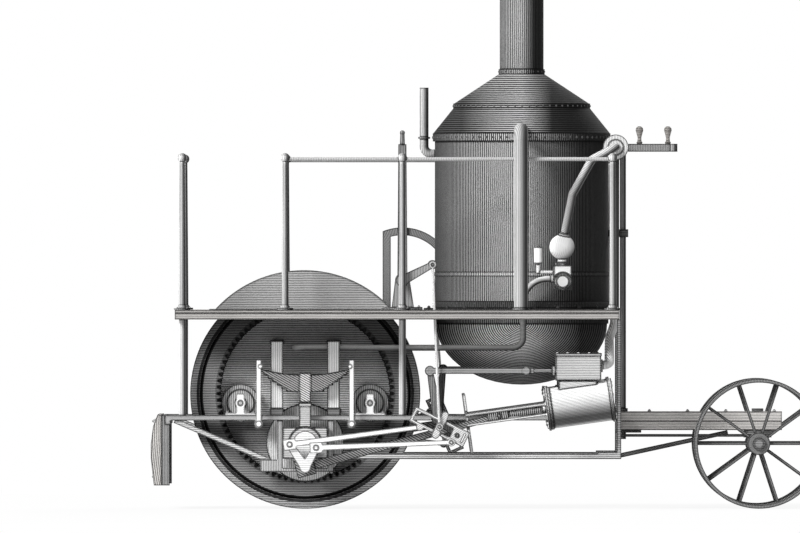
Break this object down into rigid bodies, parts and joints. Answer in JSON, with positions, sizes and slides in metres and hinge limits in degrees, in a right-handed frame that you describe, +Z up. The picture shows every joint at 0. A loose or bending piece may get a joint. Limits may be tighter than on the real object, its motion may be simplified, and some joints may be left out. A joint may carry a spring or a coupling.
{
  "type": "steam traction engine",
  "caption": "Upright-boiler steam traction engine on one wide driving drum, with sloping cylinders, a railed platform and a steered fore-truck.",
  "frame": {"origin": "on the ground below the middle of the overall length", "axes": "+X forward, towards the steered fore-truck; +Y to the left; +Z up"},
  "size_m": [5.264, 2.56, 4.324],
  "materials": {
    "black_iron": "satin black paint",
    "dark_iron": "dark cast iron",
    "mid_iron": "grey painted wrought iron",
    "pale_iron": "pale grey painted iron",
    "bright_iron": "bright machined iron",
    "pale_wood": "pale weathered timber"
  },
  "bodies": {
    "root": {"side_frames": "bright_iron", "cross_members": "mid_iron", "truss_bars": "mid_iron", "pedestals": "pale_iron", "axle_boxes": "bright_iron", "leaf_springs": "pale_iron", "spring_hangers": "bright_iron", "roller_bearings": "bright_iron", "tank_posts": "bright_iron", "water_tank": "dark_iron", "platform_joists": "pale_wood", "platform_boards": "pale_wood", "platform_props": "bright_iron", "handrails": "bright_iron", "drum_cover": "mid_iron", "boiler_shell": "black_iron", "boiler_bowl": "black_iron", "boiler_cone": "black_iron", "chimney": "black_iron", "boiler_seat": "dark_iron", "fire_door_frame": "dark_iron", "steam_pipes": "bright_iron", "pump_steam_pipe": "bright_iron", "feed_pump": "bright_iron", "feed_pipe": "pale_iron", "exhaust_pipes": "pale_iron", "relief_pipe": "bright_iron", "cylinders": "bright_iron", "steam_chests": "bright_iron", "slide_bars": "bright_iron", "crossheads": "bright_iron", "connecting_rods": "bright_iron", "crankshaft": "mid_iron", "eccentric_rods": "bright_iron", "expansion_links": "pale_iron", "rockers": "dark_iron", "valve_rods": "pale_iron", "reversing_shaft": "mid_iron", "reversing_lever": "mid_iron", "reversing_quadrant": "pale_iron", "lifting_rods": "bright_iron", "rear_timber": "pale_wood", "rear_angles": "mid_iron", "perch": "pale_wood", "perch_stay": "mid_iron", "column_bracket": "dark_iron"},
    "drum": {"drum_shell": "mid_iron", "ring_gears": "dark_iron"},
    "pinions": {"pinions": "pale_iron"},
    "rear_rollers": {"rear_rollers": "pale_iron"},
    "front_rollers": {"front_rollers": "pale_iron"},
    "fore_truck": {"fore_axle": "mid_iron"},
    "front_wheel_left": {"front_wheel_left": "mid_iron"},
    "front_wheel_right": {"front_wheel_right": "mid_iron"},
    "steering_column": {"steering_column": "bright_iron", "steering_grips": "pale_wood"},
    "steering_rod_left": {"steering_rod_left": "mid_iron"},
    "steering_rod_right": {"steering_rod_right": "mid_iron"},
    "fire_door": {"fire_door": "mid_iron"}
  },
  "joints": [
    {"name": "drum_spin", "type": "hinge", "parent": "root", "child": "drum", "pos_m": [-1.425, 0, 0.9], "axis": [0, 1, 0], "continuous": true},
    {"name": "pinion_spin", "type": "hinge", "parent": "root", "child": "pinions", "pos_m": [-1.425, 0, 0.516], "axis": [0, 1, 0], "continuous": true},
    {"name": "rear_roller_spin", "type": "hinge", "parent": "root", "child": "rear_rollers", "pos_m": [-1.93147, 0, 0.827], "axis": [0, 1, 0], "continuous": true},
    {"name": "front_roller_spin", "type": "hinge", "parent": "root", "child": "front_rollers", "pos_m": [-0.91853, 0, 0.827], "axis": [0, 1, 0], "continuous": true},
    {"name": "truck_steer", "type": "hinge", "parent": "root", "child": "fore_truck", "pos_m": [2.124, 0, 0.55], "axis": [0, 0, 1], "range_deg": [-24, 24]},
    {"name": "front_wheel_left_spin", "type": "hinge", "parent": "fore_truck", "child": "front_wheel_left", "pos_m": [2.124, 0.64, 0.508], "axis": [0, 1, 0], "continuous": true},
    {"name": "front_wheel_right_spin", "type": "hinge", "parent": "fore_truck", "child": "front_wheel_right", "pos_m": [2.124, -0.64, 0.508], "axis": [0, 1, 0], "continuous": true},
    {"name": "column_turn", "type": "hinge", "parent": "root", "child": "steering_column", "pos_m": [1.067, 0, 0.6], "axis": [0, 0, 1], "range_deg": [-24, 24]},
    {"name": "steering_rod_left_turn", "type": "hinge", "parent": "steering_column", "child": "steering_rod_left", "pos_m": [1.067, 0.15, 0.568], "axis": [0, 0, 1], "range_deg": [-24, 24]},
    {"name": "steering_rod_right_turn", "type": "hinge", "parent": "steering_column", "child": "steering_rod_right", "pos_m": [1.067, -0.15, 0.568], "axis": [0, 0, 1], "range_deg": [-24, 24]},
    {"name": "fire_door_swing", "type": "hinge", "parent": "root", "child": "fire_door", "pos_m": [-0.25242, 0.55546, 1.805], "axis": [0, 0, 1], "range_deg": [0, 110]}
  ],
  "couplings": [
    {"joint": "pinion_spin", "follows": "drum_spin", "ratio": 2.3333},
    {"joint": "rear_roller_spin", "follows": "drum_spin", "ratio": 4.4595},
    {"joint": "front_roller_spin", "follows": "drum_spin", "ratio": 4.4595},
    {"joint": "column_turn", "follows": "truck_steer", "ratio": 1},
    {"joint": "steering_rod_left_turn", "follows": "truck_steer", "ratio": -1},
    {"joint": "steering_rod_right_turn", "follows": "truck_steer", "ratio": -1}
  ]
}
